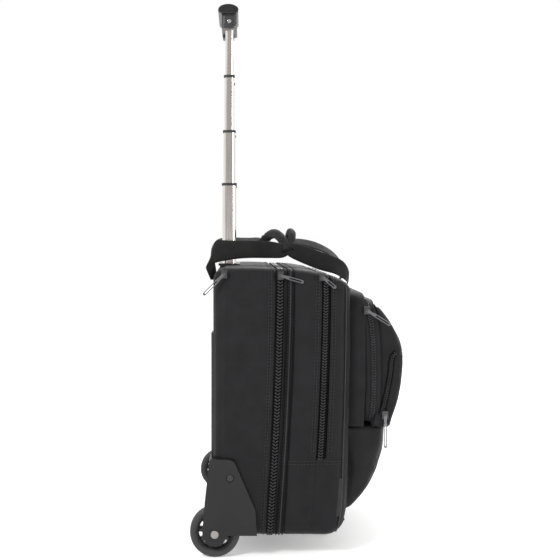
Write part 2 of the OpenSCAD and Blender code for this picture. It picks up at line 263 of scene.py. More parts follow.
def cut_grid(bm, low, high, steps):
    """Cuts every face along evenly spaced planes, so that the cloth can bend."""
    for axis, normal in enumerate(Matrix.Identity(3)):
        count = max(1, round((high[axis] - low[axis]) / steps[axis]))
        for k in range(1, count):
            point = normal * (low[axis] + (high[axis] - low[axis]) * k / count)
            everything = bm.verts[:] + bm.edges[:] + bm.faces[:]
            bmesh.ops.bisect_plane(bm, geom=everything, dist=1e-5, plane_co=point, plane_no=normal)


def round_edges(bm, edges, radius, segments):
    bmesh.ops.bevel(
        bm, geom=edges, offset=radius, segments=segments, profile=0.5, affect="EDGES", material=-1
    )


def cut_away(bm, test):
    """Removes the faces that pass a test of their middle and of the way that they face."""
    gone = [face for face in bm.faces if test(face.calc_center_median(), face.normal)]
    bmesh.ops.delete(bm, geom=gone, context="FACES")


def box_of_cloth(low, high, edge, ends=(None, None), steps=(0.009, 0.012, 0.01), segments=4, foot=None):
    """A box with its edges along X rounded; each end is open (None) or rounded by a radius."""
    bm = bmesh.new()
    bmesh.ops.create_cube(bm, size=1.0)
    low = Vector(low)
    high = Vector(high)
    bmesh.ops.scale(bm, vec=high - low, verts=bm.verts)
    bmesh.ops.translate(bm, vec=(low + high) / 2, verts=bm.verts)
    along = [e for e in bm.edges if abs(e.verts[0].co.x - e.verts[1].co.x) > 1e-6]
    upper = [e for e in along if e.verts[0].co.z > (low.z + high.z) / 2]
    lower = [e for e in along if e not in upper]
    for edges, radius in ((upper, edge), (lower, edge if foot is None else foot)):
        round_edges(bm, edges, radius, segments)
    for place, radius in ((low.x, ends[0]), (high.x, ends[1])):
        caps = [f for f in bm.faces if all(abs(v.co.x - place) < 1e-6 for v in f.verts)]
        if radius is None:
            bmesh.ops.delete(bm, geom=caps, context="FACES")
        else:
            round_edges(bm, [e for f in caps for e in f.edges], radius, segments)
    cut_grid(bm, low, high, steps)
    return bm


def rumple(at, scale, seed=0.0):
    """Smooth cloth noise, about -1 to 1, the same on every run."""
    return noise.noise((at + Vector((seed, seed * 1.7, seed * 0.6))) * scale)


def ridge(value, middle, width):
    """1 at the middle and 0 away from it: the profile of a seam or a hem."""
    return math.exp(-(((value - middle) / width) ** 2))


def shift_cloth(bm, move):
    """Moves each point of the cloth along its own normal and by a free shift."""
    bm.normal_update()
    shifts = [move(v.co.copy(), v.normal.copy()) for v in bm.verts]
    for vert, shift in zip(bm.verts, shifts):
        vert.co += shift


def thicken(made, thickness, levels=1, offset=-1.0):
    """Gives the cloth its thickness inwards and rounds it."""
    solid = made.modifiers.new("thickness", "SOLIDIFY")
    solid.thickness = thickness
    solid.offset = offset
    if levels:
        round_off = made.modifiers.new("round", "SUBSURF")
        round_off.levels = levels
        round_off.render_levels = levels


def panel(name, bm, folds, body, replaces=(), finish=nylon, thickness=PANEL):
    """Folds the cut cloth into its shape and gives it its thickness."""
    shift_cloth(bm, folds)
    made = piece(name, bm, finish, body, replaces)
    thicken(made, thickness)
    return made


def bulge(value, low, high, power=0.6):
    """0 at both ends of a stretch and 1 in its middle, full like a stuffed panel."""
    t = (value - low) / (high - low)
    return max(0.0, 4 * t * (1 - t)) ** power


# ---- Rear section ----
# The deep rear half of the case: back panel, sides, top and bottom in one sewn shell that the
# wheels and the trolley are screwed to. Its lower corners are cut away for the wheel housings.
REAR_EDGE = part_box("rear_shell")[1][0] - 0.0065
NOTCH_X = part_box("wheel_housing_left")[1][0] - 0.004


def cut_exit(bm, reach, half):
    """Opens the cloth's top under the exit plate, where the tubes slide through."""
    tubes = middle_of("fixed_tubes").x
    cut_away(bm, lambda at, facing: (
        facing.z > 0.5 and at.z > TOP - 0.03 and abs(at.x - tubes) < reach and abs(at.y) < half
    ))


def rear_folds(at, normal):
    side = off_side(normal.y)
    puff = 0.0028 * side * bulge(at.x, BACK + 0.01, REAR_EDGE) * bulge(at.z, BASE, TOP)
    puff += 0.002 * max(0.0, normal.z) * bulge(at.x, BACK, REAR_EDGE)
    # folds that run down from above the wheel housing towards the zip
    for height, slope, depth in ((0.16, 0.34, 0.0034), (0.186, 0.6, -0.0026), (0.14, 0.1, -0.0022)):
        along = clamp((at.x - (BACK + 0.006)) / 0.03) * clamp((REAR_EDGE - 0.004 - at.x) / 0.012)
        line = height + 0.006 * rumple(at, 22, 4) - slope * (REAR_EDGE - at.x - 0.045)
        puff += side * depth * along * ridge(at.z, line, 0.0065)
    puff += side * (0.0019 * rumple(at, 11, 3) + 0.001 * rumple(at, 34, 5))
    puff -= 0.0022 * ridge(at.x, BACK + 0.0125, 0.0016) * (side + max(0.0, normal.z))
    curve = TOP - 0.0105 + 0.03 * (0.05 - (at.x - BACK) * 0.55)
    puff -= 0.0013 * side * ridge(at.z, curve, 0.0016) * (at.x < REAR_EDGE - 0.028)
    puff += 0.0012 * ridge(at.x, REAR_EDGE - 0.004, 0.0022)
    puff -= 0.001 * ridge(at.x, REAR_EDGE - 0.0085, 0.0012)
    return normal * puff + leant(at) - at


shell = box_of_cloth(
    (BACK, -HALF + 0.002, BASE), (REAR_EDGE, HALF - 0.002, TOP - 0.001), EDGE, ends=(0.018, None),
    steps=(0.0045, 0.014, 0.0062),
)
cut_away(shell, lambda at, facing: (
    abs(at.y) > HALF - 0.034 and at.x < NOTCH_X and at.z < 0.146 - max(0.0, at.x + 0.099) * 2.1
))
shell.normal_update()
cut_exit(shell, 0.0135, 0.052)
rear_section = panel("rear_section", shell, rear_folds, "case_body", ["rear_shell"])

# ---- Front section ----
# A shallow band between the expansion zip and the document zip, with the laptop sleeve inside.
# It is stiffened by a board, has a piped edge next to the zip, and stands on two feet.
BAND = (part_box("front_shell")[0][0] + 0.0065, 0.0365)
SEAM_Z = 0.153


def lower_seam(z):
    """The groove of the seam across both sides, and the hem under it."""
    return 0.0008 * ridge(z, SEAM_Z - 0.007, 0.0026) - 0.0016 * ridge(z, SEAM_Z - 0.002, 0.0017)


def band_folds(at, normal):
    side = off_side(normal.y)
    out = side + max(0.0, abs(normal.z) - 0.4)
    puff = 0.0021 * side * bulge(at.x, BAND[0] + 0.007, BAND[1]) * bulge(at.z, BASE, TOP, 0.3)
    puff += 0.0016 * max(0.0, normal.z) * bulge(at.x, *BAND)
    puff += 0.0008 * out * (ridge(at.x, BAND[0], 0.002) + ridge(at.x, BAND[0] + 0.0088, 0.003))
    puff -= 0.0026 * out * (ridge(at.x, BAND[0] + 0.004, 0.0016) + ridge(at.x, BAND[0] + 0.0135, 0.0015))
    puff += 0.0009 * out * ridge(at.x, BAND[1] - 0.003, 0.002) * (at.z > SEAM_Z)
    puff -= 0.0009 * out * ridge(at.x, BAND[1] - 0.0075, 0.0012) * (at.z > SEAM_Z)
    puff += side * lower_seam(at.z) * (at.x > BAND[0] + 0.009)
    puff += side * (0.0014 * rumple(at, 12, 8) + 0.0008 * rumple(at, 36, 2))
    return normal * puff + leant(at) - at


band = box_of_cloth(
    (BAND[0], -HALF + 0.0015, BASE), (BAND[1], HALF - 0.0015, TOP - 0.001), EDGE,
    steps=(0.0021, 0.014, 0.0075),
)
front_band = panel("front_band", band, band_folds, "front_section", ["front_shell"])

# ---- Front box ----
# The document compartment in front of its zip, with rounded front edges and a piped seam round
# them. Below the lower seam it is sewn to the band; above it the box is the lid, and the cloth
# between the two bends at the height of the pocket's lower seam.
FACE_X = 0.08
ZIP2_EDGE = 0.0478


def keel(x, z):
    """The lower front corner is rounder than the others."""
    low = clamp((BASE + 0.032 - z) / 0.032)
    return 0.006 * low * clamp((x - 0.045) / 0.03)


def face_folds(at, normal):
    side = off_side(normal.y)
    front = max(0.0, normal.x)
    puff = 0.0018 * side * bulge(at.x, ZIP2_EDGE, FACE_X - 0.006)
    puff += 0.0022 * front * bulge(at.y, -HALF, HALF, 0.5) * bulge(at.z, BASE, TOP, 0.5)
    puff += 0.0011 * (1 - front) * ridge(at.x, ZIP2_EDGE + 0.0025, 0.002) * (at.z > SEAM_Z)
    puff -= 0.0011 * (1 - front) * ridge(at.x, ZIP2_EDGE + 0.007, 0.0012) * (at.z > SEAM_Z)
    puff += side * lower_seam(at.z)
    puff += 0.0014 * rumple(at, 12, 6) + 0.0007 * rumple(at, 36, 1)
    return normal * puff + leant(at) - at - Vector((keel(at.x, at.z), 0, 0))


face_box = box_of_cloth(
    (BAND[1] - 0.002, -HALF + 0.0015, BASE), (FACE_X, HALF - 0.0015, TOP - 0.001), EDGE,
    ends=(None, 0.021), steps=(0.0038, 0.014, 0.0062), segments=5,
)
cut_away(face_box, lambda at, facing: at.x < ZIP2_EDGE and at.z > SEAM_Z)
front_box = panel("front_box", face_box, face_folds, None, ["document_lid"])
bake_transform(front_box)

# ---- Pocket frame ----
# The sides and top of the big front pocket, which stand forward of the box's face and end at the
# pocket zip. The frame is sewn on with a seam all round.
FLAP_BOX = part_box("pocket_flap")
POCKET = FLAP_BOX[1][1]
POCKET_ZIP = FLAP_BOX[0][0] - 0.0075
POCKET_TOP = 0.404
FOLD_Z = 0.195


def arch(at):
    """How far the pocket's top comes down, more towards the front."""
    up = clamp((at.z - FOLD_Z - 0.09) / (POCKET_TOP - FOLD_Z - 0.09))
    return -0.012 * clamp((at.x - FACE_X + 0.01) / 0.05) * up * up


def frame_folds(at, normal):
    side = off_side(normal.y)
    puff = 0.0016 * bulge(at.x, FACE_X, POCKET_ZIP) * (side + max(0.0, normal.z))
    puff += 0.0011 * side * rumple(at, 16, 9)
    puff += 0.001 * ridge(at.x, POCKET_ZIP - 0.002, 0.002)
    puff -= 0.001 * ridge(at.x, POCKET_ZIP - 0.0065, 0.0012)
    tuck = -0.003 * (1 - clamp((at.z - FOLD_Z) / 0.06)) * clamp((at.x - FACE_X) / 0.02)
    return normal * puff + Vector((tuck, 0, arch(at)))


frame_cloth = box_of_cloth(
    (FACE_X - 0.012, -POCKET, FOLD_Z - 0.002), (POCKET_ZIP, POCKET, POCKET_TOP), 0.034,
    steps=(0.0038, 0.014, 0.0075), segments=6, foot=0.004,
)
cut_away(frame_cloth, lambda at, facing: at.z < FOLD_Z - 0.001)
pocket_frame = panel("pocket_frame", frame_cloth, frame_folds, "lid")

# ---- Pocket flap ----
# The big outer pocket: a stuffed half-round of cloth that opens along the pocket zip and hinges at
# its lower seam. It is fullest two thirds of the way up and has a smaller zipped pocket on it.
FLAP_LOW, FLAP_HIGH = (Vector(corner) for corner in FLAP_BOX)
FLAP_FULL = FLAP_HIGH.x - 0.004


def belly_line(height, *marks):
    """The depth of a stuffed pocket at a height, from marks of height and depth."""
    for (h0, d0), (h1, d1) in zip(marks, marks[1:]):
        if height <= h1:
            return d0 + (d1 - d0) * clamp((height - h0) / (h1 - h0))
    return marks[-1][1]


def flap_depth(y, z):
    """How far the flap's front stands forward of the pocket zip."""
    line = belly_line(
        z, (0.2, 0.036), (0.222, 0.042), (0.25, 0.048), (0.285, 0.052), (0.31, 0.049),
        (0.335, 0.041), (0.355, 0.03), (0.372, 0.019), (0.388, 0.006),
    )
    crown = 1 - 0.03 * (abs(y) / POCKET) ** 2 - 0.16 * (abs(y) / POCKET) ** 9
    return line * crown


def flap_form(at, normal):
    share = clamp((at.x - FLAP_LOW.x) / (FLAP_FULL - FLAP_LOW.x))
    shift = Vector((FLAP_LOW.x + share * flap_depth(at.y, at.z) - at.x, 0, 0))
    up = clamp((at.z - 0.3) / (FLAP_HIGH.z - 0.3))
    shift.z = 0.006 * clamp((at.z - FOLD_Z) / 0.1) - 0.012 * share * up
    shift.x += 0.009 * bulge(at.z, FOLD_Z - 0.005, FLAP_HIGH.z + 0.01) * (1 - share)
    return shift


flap_cloth = box_of_cloth(
    (FLAP_LOW.x - 0.001, FLAP_LOW.y, FOLD_Z - 0.003), (FLAP_FULL, FLAP_HIGH.y, FLAP_HIGH.z),
    0.03, ends=(0.004, 0.006), steps=(0.005, 0.01, 0.0065), segments=5, foot=0.004,
)
shift_cloth(flap_cloth, flap_form)


def stuff(bm, pressure, cap, frames=20):
    """Blows a closed cloth form up from inside, as its filling does; the fold seam is held."""
    mesh = bpy.data.meshes.new("stuffing")
    bm.to_mesh(mesh)
    form = bpy.data.objects.new("stuffing", mesh)
    bpy.context.collection.objects.link(form)
    grid = form.modifiers.new("grid", "REMESH")
    grid.mode = "VOXEL"
    grid.voxel_size = 0.0042
    context = bpy.context.evaluated_depsgraph_get()
    smooth = bpy.data.meshes.new_from_object(form.evaluated_get(context))
    form.modifiers.clear()
    form.data = smooth
    rest = [v.co.copy() for v in smooth.vertices]
    cloth = form.modifiers.new("cloth", "CLOTH")
    cloth.settings.use_pressure = True
    cloth.settings.uniform_pressure_force = pressure
    cloth.settings.effector_weights.gravity = 0.0
    cloth.settings.tension_stiffness = 18
    cloth.settings.bending_stiffness = 0.4
    cloth.point_cache.frame_start = 1
    cloth.point_cache.frame_end = frames
    for frame_number in range(1, frames + 1):
        bpy.context.scene.frame_set(frame_number)
    context = bpy.context.evaluated_depsgraph_get()
    full = bpy.data.meshes.new_from_object(form.evaluated_get(context))
    result = bmesh.new()
    result.from_mesh(full)
    for vert, start in zip(result.verts, rest):
        move = vert.co - start
        held = clamp(abs(start.z - FOLD_Z) / 0.04)
        vert.co = start + move * held * min(1.0, cap / max(move.length, 1e-6))
    bpy.data.objects.remove(form)
    bpy.context.scene.frame_set(1)
    return result


def outer_zip_height(y):
    """The zip of the small outer pocket runs up the flap's sides and over its front in an arch."""
    return 0.336 - 0.036 * (abs(y) / POCKET) ** 4


def flap_creases(at, normal):
    front = clamp((at.x - FLAP_LOW.x - 0.006) / 0.01)
    side = off_side(normal.y)
    puff = 0.0012 * rumple(at, 14, 2) + 0.0006 * rumple(at, 40, 4)
    puff += 0.0009 * ridge(at.x, FLAP_LOW.x + 0.003, 0.002)
    puff -= 0.0012 * ridge(at.x, FLAP_LOW.x + 0.0075, 0.0014)
    if at.z > 0.215:
        gap = at.z - outer_zip_height(at.y)
        puff -= 0.0015 * front * ridge(gap, 0.0, 0.003) * (1 - side)
        puff += 0.0012 * front * (ridge(gap, 0.0075, 0.003) + ridge(gap, -0.0075, 0.003)) * (1 - side)
    return normal * puff


flap_cloth = stuff(flap_cloth, 4.0, 0.005)
shift_cloth(flap_cloth, flap_creases)
flap_surface = BVHTree.FromBMesh(flap_cloth)
outer_flap = piece("outer_flap", flap_cloth, nylon, "flap", ["pocket_flap"])

# ---- Belly ----
# The lower front of the case: a stuffed wedge under the flap, sewn to the front box along its
# edges, that slims down towards the bottom like the keel of a boat.
BELLY_LOW, BELLY_HIGH = (Vector(corner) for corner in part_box("pocket_belly"))


def belly_form(at, normal):
    share = clamp((at.x - FACE_X) / (BELLY_HIGH.x - FACE_X))
    depth = belly_line(
        at.z, (0.062, 0.003), (0.074, 0.017), (0.086, 0.03), (0.098, 0.04), (0.122, 0.052),
        (0.147, 0.06), (0.168, 0.065), (0.19, 0.067),
    )
    crown = 1 - 0.02 * (abs(at.y) / BELLY_HIGH.y) ** 2 - 0.1 * (abs(at.y) / BELLY_HIGH.y) ** 9
    back = lean(FACE_X, at.z) - 0.006
    narrow = 1 - 0.05 * share
    return Vector((back + share * (depth * crown + 0.004) - at.x, at.y * (narrow - 1), 0))


belly_cloth = box_of_cloth(
    (FACE_X - 0.004, BELLY_LOW.y - 0.01, 0.062), (BELLY_HIGH.x, BELLY_HIGH.y + 0.01, 0.1935),
    0.004, ends=(0.002, 0.005), steps=(0.006, 0.01, 0.0065), segments=4,
)
shift_cloth(belly_cloth, belly_form)


def belly_creases(at, normal):
    puff = 0.0011 * rumple(at, 13, 7) + 0.0006 * rumple(at, 38, 3)
    puff -= 0.0014 * ridge(at.x, lean(FACE_X, at.z) + 0.004, 0.002)
    return normal * puff


belly_cloth = stuff(belly_cloth, 4.0, 0.004)
shift_cloth(belly_cloth, belly_creases)
belly = piece("belly", belly_cloth, nylon, "front_section", ["pocket_belly"])

# ---- Zips ----
# Coil zips with moulded teeth on woven tapes: a coarse one all round the case for the expansion,
# and finer ones round the document lid, the pocket flap and the small outer pocket.
zip_cloth = cloth_finish("zip_tape", (0.0014, 0.0014, 0.0016), (0.0032, 0.0032, 0.0037), 0.0008, 0.8)
zip_cloth.shader.inputs["Specular IOR Level"].default_value = 0.1
teeth_plastic = Finish("zip_teeth", (0.02, 0.02, 0.022), 0.3)
teeth_plastic.mottle(60.0, 0.3, (0.016, 0.016, 0.018), 0.8, (0.03, 0.03, 0.033))
teeth_plastic.gloss(0.24, 0.2, 25.0)


def walk(points, pitch):
    """Even steps along a line of points: the place and the direction of each."""
    steps = []
    left = pitch / 2
    for a, b in zip(points, points[1:]):
        run = (b - a).length
        if run < 1e-9:
            continue
        along = (b - a) / run
        while left <= run:
            steps.append((a + along * left, along))
            left += pitch
        left -= run
    return steps


def ring(x, half, low, high, radius):
    """Points round the case at one depth, starting and ending at the middle of the top."""
    corners = ((half, high), (half, low), (-half, low), (-half, high))
    points = [Vector((x, 0, high))]
    for k, (y, z) in enumerate(corners):
        cy = y - math.copysign(radius, y)
        cz = z - radius if z == high else z + radius
        for step in range(7):
            turn = math.radians(90 - 90 * k - 15 * step)
            points.append(Vector((x, cy + radius * math.cos(turn), cz + radius * math.sin(turn))))
    points.append(Vector((x, 0, high)))
    fine = [points[0]]
    for a, b in zip(points, points[1:]):
        count = max(1, math.ceil((b - a).length / 0.012))
        fine += [a.lerp(b, k / count) for k in range(1, count + 1)]
    return [leant(p) for p in fine]


def outward(place, along):
    """Away from the case, square to the line."""
    middle = Vector((place.x, 0, (TOP + BASE) / 2))
    out = Vector((0, along.z, -along.y)).normalized()
    return out if out.dot(place - middle) > 0 else -out


def add_teeth(bm, line, pitch, side, length, thick, out_of, rise):
    """One row of teeth along a line, pointing across it to one side and a little forward."""
    for place, along in walk(line, pitch):
        out = out_of(place, along)
        across = along.cross(out).normalized() * side
        tooth = (across + along * 0.8).normalized()
        up = tooth.cross(out).normalized()
        turn = Matrix((up, out, tooth)).transposed().to_4x4()
        centre = place + across * (length * 0.4) + out * (thick * 0.5 + rise)
        bmesh.ops.create_cone(
            bm, cap_ends=True, segments=6, radius1=thick * 0.8, radius2=thick, depth=length,
            matrix=Matrix.Translation(centre) @ turn,
        )


def add_strip(bm, rows):
    """Cloth laid out row by row, each row of points drawn out of the one before it."""
    verts = [bm.verts.new(p) for p in rows[0]]
    edges = [bm.edges.new(pair) for pair in zip(verts, verts[1:])]
    for row in rows[1:]:
        grown = bmesh.ops.extrude_edge_only(bm, edges=edges)["geom"]
        fresh = [g for g in grown if isinstance(g, bmesh.types.BMVert)]
        twins = {e.other_vert(v): v for v in fresh for e in v.link_edges if e.other_vert(v) in verts}
        verts = [twins[v] for v in verts]
        for vert, place in zip(verts, row):
            vert.co = place
        edges = [bm.edges.get(pair) for pair in zip(verts, verts[1:])]


def add_tape(bm, line, side, width, out_of, rise):
    """A strip of tape beside a line."""
    rows = []
    for k, place in enumerate(line):
        along = (line[min(k + 1, len(line) - 1)] - line[max(k - 1, 0)]).normalized()
        out = out_of(place, along)
        across = along.cross(out).normalized() * side
        rows.append([place + across * (width * t) + out * rise for t in (0, 0.5, 1)])
    add_strip(bm, rows)


def add_zip(name, line, pitch, length, thick, rise, halves, out_of=outward, cloth=zip_cloth):
    """A zip: each half has its own body, a row of teeth, and a tape a little behind them."""
    for half, side, body, width in halves:
        bm = bmesh.new()
        add_teeth(bm, line, pitch, side, length, thick, out_of, rise)
        piece(f"{name}_zip_{half}_teeth", bm, teeth_plastic, body, merge=0)
        bm = bmesh.new()
        add_tape(bm, line, side, width, out_of, rise - 0.0004)
        thicken(piece(f"{name}_zip_{half}_tape", bm, cloth, body), 0.0008, 0)


def opened(line):
    """A ring with a stretch left out, put in order from one side of the gap to the other."""
    gap = next(k for k, (a, b) in enumerate(zip(line, line[1:])) if (b - a).length > 0.1)
    return line[gap + 1:] + line[1:gap + 1]


zip_x = (REAR_EDGE + BAND[0]) / 2
main_ring = ring(zip_x, HALF - 0.003, BASE + 0.0005, TOP - 0.003, EDGE)
add_zip(
    "expander", main_ring, 0.0048, 0.005, 0.0011, 0.0008,
    (("rear", -1, "case_body", 0.0092), ("front", 1, "front_section", 0.0092)),
)

zip2_x = (BAND[1] + ZIP2_EDGE) / 2
lid_ring = ring(zip2_x, HALF - 0.0035, BASE, TOP - 0.0035, EDGE)
add_zip(
    "document", opened([p for p in lid_ring if p.z > SEAM_Z - 0.006]), 0.0042, 0.0044, 0.001, 0.0008,
    (("rear", -1, "front_section", 0.0085), ("front", 1, "lid", 0.0095)),
)

pocket_line = []
for at in ring(POCKET_ZIP + 0.0035, POCKET - 0.001, FOLD_Z, POCKET_TOP - 0.0005, 0.034):
    if at.z > FOLD_Z + 0.004:
        flat = Vector((POCKET_ZIP + 0.0022 + 0.01 * bulge(at.z, 0.175, 0.38), at.y, at.z))
        pocket_line.append(flat + Vector((0, 0, arch(flat))))
add_zip(
    "pocket", opened(pocket_line), 0.004, 0.0042, 0.001, 0.0006,
    (("rear", -1, "lid", 0.013), ("front", 1, "flap", 0.011)), cloth=nylon,
)


def flap_side(place, along):
    return flap_surface.find_nearest(place)[1]


outer_line = []
for k in range(-60, 61):
    y = POCKET * min(1.0, abs(k) / 40) * (1 if k > 0 else -1)
    drop = max(0.0, (abs(k) - 40) / 20)
    z = outer_zip_height(y) - 0.088 * drop
    x = FLAP_LOW.x + flap_depth(y, z) - 0.01 * clamp((abs(k) - 34) / 8) - 0.006 * drop
    place, normal, _, _ = flap_surface.find_nearest(Vector((x, y, z)))
    outer_line.append(place + normal * 0.0004)
add_zip(
    "outer", outer_line, 0.0034, 0.003, 0.0007, 0.0004,
    (("upper", 1, "flap", 0.005), ("lower", -1, "flap", 0.005)), flap_side,
)

# ---- Piping ----
# Thin cords covered in smooth tape, sewn into the seams: along the zip and round the front box's
# edges.
piping_tape = Finish("piping_tape", (0.006, 0.006, 0.007), 0.45)
piping_tape.gloss(0.38, 0.2, 30.0)
piping_tape.grain(500.0, 0.0002)


def add_cord(name, points, radius, finish, body, closed=False, corners=2):
    """A round cord along a line of points."""
    line = bpy.data.curves.new(name, "CURVE")
    line.dimensions = "3D"
    line.bevel_depth = radius
    line.bevel_resolution = corners
    line.use_fill_caps = not closed
    spline = line.splines.new("POLY")
    spline.points.add(len(points) - 1)
    for spot, place in zip(spline.points, points):
        spot.co = (*place, 1)
    spline.use_cyclic_u = closed
    draft = bpy.data.objects.new(name, line)
    bpy.context.collection.objects.link(draft)
    bm = bmesh.new()
    bm.from_mesh(bpy.data.meshes.new_from_object(draft))
    bpy.data.objects.remove(draft)
    return piece(name, bm, finish, body)


add_cord(
    "zip_piping", ring(BAND[0] + 0.0088, HALF - 0.0004, BASE - 0.0002, TOP - 0.0002, EDGE)[:-1],
    0.001, piping_tape, "front_section", True,
)
# Dark cords of zip tape sunk into the two grooves beside the zip, all round the band: painted shade,
# dark lines that stand in for the shadow in each groove.
for name, reach in (("rear", 0.004), ("front", 0.0136)):
    add_cord(
        f"groove_shade_{name}", ring(BAND[0] + reach, HALF + 0.0002, BASE, TOP, EDGE)[:-1],
        0.0008, zip_cloth, "front_section", True,
    )
front_ring = [
    p - Vector((keel(0.0725, p.z), 0, 0))
    for p in ring(0.0725, HALF - 0.0036, BASE + 0.003, TOP - 0.0045, 0.016)
]
front_pipe = add_cord(
    "front_piping", front_ring[:-1], 0.0009, piping_tape, None, True
)
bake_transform(front_pipe)

# ---- Trolley ----
# Four stages of stadium-section steel tube that slide into each other, brushed along their length
# and nickel plated, with black plastic collars and a moulded grip with a rubber cap.
STAGES = ("trolley_stage_4", "trolley_stage_3", "trolley_stage_2", "trolley_grip")


def coat(finish, *nodes):
    """Gives CAD parts their real surface."""
    for node in nodes:
        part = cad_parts[node]
        part.data.materials.clear()
        part.data.materials.append(finish.material)


def rounded(node, finish, body, radius, segments=3, angle=32):
    """A moulded part: the CAD part's own shape with its edges rounded off."""
    bm = bmesh.new()
    bm.from_mesh(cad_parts[node].data)
    bmesh.ops.remove_doubles(bm, verts=bm.verts, dist=1e-5)
    bmesh.ops.dissolve_limit(bm, angle_limit=math.radians(0.6), verts=bm.verts, edges=bm.edges)
    made = piece(node + "_moulded", bm, finish, body, [node], merge=0)
    soften = made.modifiers.new("edges", "BEVEL")
    soften.width = radius
    soften.segments = segments
    soften.limit_method = "ANGLE"
    soften.angle_limit = math.radians(angle)
    soften.harden_normals = True
    flat = made.modifiers.new("faces", "WEIGHTED_NORMAL")
    flat.keep_sharp = True
    return made


steel = Finish("brushed_steel", (0.72, 0.68, 0.65), 0.18, Metallic=1.0)
grain = steel.cloud(900.0, 2.0, (1, 1, 0.02))
steel.feed("Base Color", steel.shades(grain, (0.25, (0.7, 0.665, 0.64)), (0.8, (0.84, 0.81, 0.785))))
steel.feed("Roughness", 0.1 + 0.12 * grain)
steel.bump(grain, 0.00002, 0.3)
for k in (4, 3, 2, 1):
    coat(steel, f"stage_{k}_tube_left", f"stage_{k}_tube_right")
coat(steel, "fixed_tubes")

glossy_black = Finish("glossy_black", (0.008, 0.008, 0.009), 0.22)
glossy_black.gloss(0.16, 0.18, 40.0)
matt_black = Finish("matt_black", (0.012, 0.012, 0.013), 0.5)
matt_black.gloss(0.4, 0.2, 60.0)
matt_black.grain(1500.0, 0.00008)
for k in (4, 3, 2):
    rounded(f"stage_{k}_collars", matt_black, STAGES[4 - k], 0.0007)
    coat(matt_black, f"stage_{k}_lock_blocks")
coat(matt_black, "stage_1_lock_blocks")
rounded("exit_plate", glossy_black, "case_body", 0.0009)

rubber = Finish("grip_rubber", (0.006, 0.006, 0.007), 0.3)
rubber.gloss(0.22, 0.2, 50.0)
rubber.grain(1300.0, 0.0001)
rounded("grip_cover", rubber, "trolley_grip", 0.0022, 4, 40)
grip_grey = Finish("grip_plastic", (0.02, 0.02, 0.023), 0.42)
grip_grey.mottle(30.0, 0.3, (0.016, 0.016, 0.018), 0.7, (0.024, 0.024, 0.027))
grip_grey.grain(1200.0, 0.0001)
rounded("grip_frame", grip_grey, "trolley_grip", 0.0014)
rounded("release_button", matt_black, "grip_button", 0.0012)

bright = Finish("bright_metal", (0.72, 0.72, 0.71), 0.2, Metallic=1.0)
bright.gloss(0.13, 0.2, 150.0)
dull = Finish("dull_steel", (0.3, 0.29, 0.28), 0.4, Metallic=1.0)
dull.gloss(0.3, 0.25, 120.0)
coat(dull, "push_rods", "axle_left", "axle_right")
foot = Vector((middle_of("button_spring").x, 0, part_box("button_spring")[0][2]))
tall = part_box("button_spring")[1][2] - foot.z
coil = []
for k in range(61):
    turn = math.radians(24 * k)
    up = 0.0006 + (tall - 0.0012) * k / 60
    coil.append(foot + Vector((0.0032 * math.cos(turn), 0.0032 * math.sin(turn), up)))
spring = add_cord("button_coil", coil, 0.0005, bright, "trolley_grip")
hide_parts("button_spring")
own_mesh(spring)
rounded("grip_screws", bright, "trolley_grip", 0.0004)

# ---- Wheels and housings ----
# Inline-skate type wheels: a soft tyre moulded on a spoked hub with two ball bearings, on an axle
# that is riveted through a moulded corner housing and closed with bright caps.
housing_grey = Finish("housing_plastic", (0.008, 0.008, 0.009), 0.45)
housing_grey.mottle(14.0, 0.3, (0.0062, 0.0062, 0.007), 0.7, (0.0095, 0.0097, 0.0108))
housing_grey.shader.inputs["Specular IOR Level"].default_value = 0.32
housing_grey.gloss(0.36, 0.16, 20.0)
housing_grey.grain(1800.0, 0.00009, 0.6)
for side in ("left", "right"):
    rounded("wheel_housing_" + side, housing_grey, "case_body", 0.0024, 4, 35)

plug_black = Finish("plug_plastic", (0.012, 0.012, 0.013), 0.38)
plug_black.gloss(0.32, 0.15, 90.0)
rounded("housing_screws", plug_black, "case_body", 0.0008)
rounded("axle_caps", dull, "case_body", 0.0006, 3, 40)

tyre_rubber = Finish("tyre_rubber", (0.045, 0.045, 0.049), 0.55)
tyre_rubber.mottle(26.0, 0.25, (0.017, 0.017, 0.019), 0.75, (0.03, 0.03, 0.033))
tyre_rubber.gloss(0.45, 0.22, 60.0)
tyre_rubber.grain(1100.0, 0.00012, 0.6, 3.0)
hub_grey = Finish("hub_plastic", (0.016, 0.016, 0.018), 0.4)
hub_grey.gloss(0.32, 0.2, 70.0)
AXLE = middle_of("tyre_left")
WHEEL_Y = 0.195
SPOKES = 9


def spun(name, half, finish, body, y, replaces=(), steps=64):
    """A shape turned round the axle, from one half of its section as marks of reach and radius."""
    section = [(-w, r) for w, r in half] + [(w, r) for w, r in half[::-1]]
    bm = bmesh.new()
    verts = [bm.verts.new((AXLE.x + r, y + w, AXLE.z)) for w, r in section]
    edges = [bm.edges.new(pair) for pair in zip(verts, verts[1:] + verts[:1])]
    bmesh.ops.spin(
        bm, geom=verts + edges, cent=(AXLE.x, y, AXLE.z), axis=(0, 1, 0),
        angle=math.radians(360), steps=steps, use_merge=True,
    )
    return piece(name, bm, finish, body, replaces, merge=1e-5)


def add_bar(bm, a, b, width, thick):
    """A bar from a to b with its edges rounded, square to the axle."""
    along = (b - a).normalized()
    side = Vector((0, 1, 0))
    turn = Matrix((along.cross(side), side, along)).transposed().to_4x4()
    size = Matrix.Diagonal((width, thick, (b - a).length, 1))
    made = bmesh.ops.create_cube(bm, size=1.0, matrix=Matrix.Translation((a + b) / 2) @ turn @ size)
    edges = list({e for v in made["verts"] for e in v.link_edges})
    round_edges(bm, edges, min(width, thick) * 0.2, 2)


